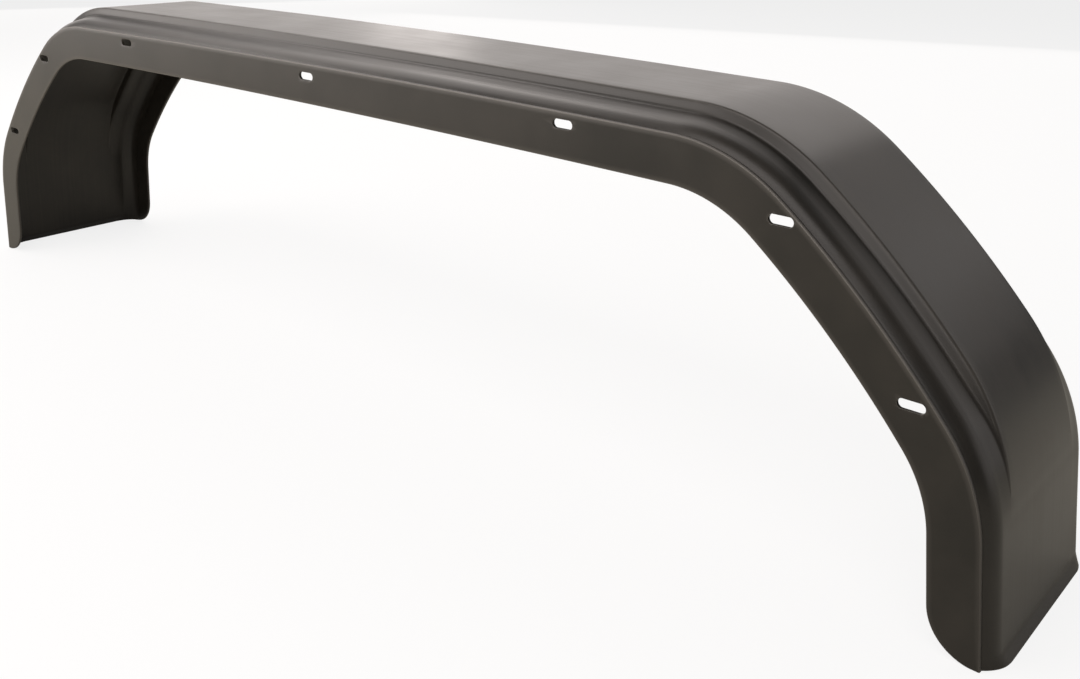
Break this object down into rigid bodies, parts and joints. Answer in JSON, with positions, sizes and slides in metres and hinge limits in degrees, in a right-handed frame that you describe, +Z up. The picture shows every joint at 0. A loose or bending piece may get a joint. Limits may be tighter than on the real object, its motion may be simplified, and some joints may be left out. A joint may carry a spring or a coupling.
{
  "type": "trailer mudguard",
  "caption": "Long arched trailer mudguard moulded in one piece, with a raised stepped crown, sloped shoulders, short flared feet and a slotted fixing flange along one side.",
  "frame": {"origin": "middle of the guard's length and width, on the ground line of its two feet", "axes": "+X along the trailer, +Y across it from the slotted fixing flange towards the other flange, +Z up"},
  "size_m": [1.5138, 0.2, 0.374],
  "materials": {
    "shell": "black moulded polyethylene with a satin skin"
  },
  "bodies": {
    "root": {"mudguard": "shell"}
  },
  "joints": []
}
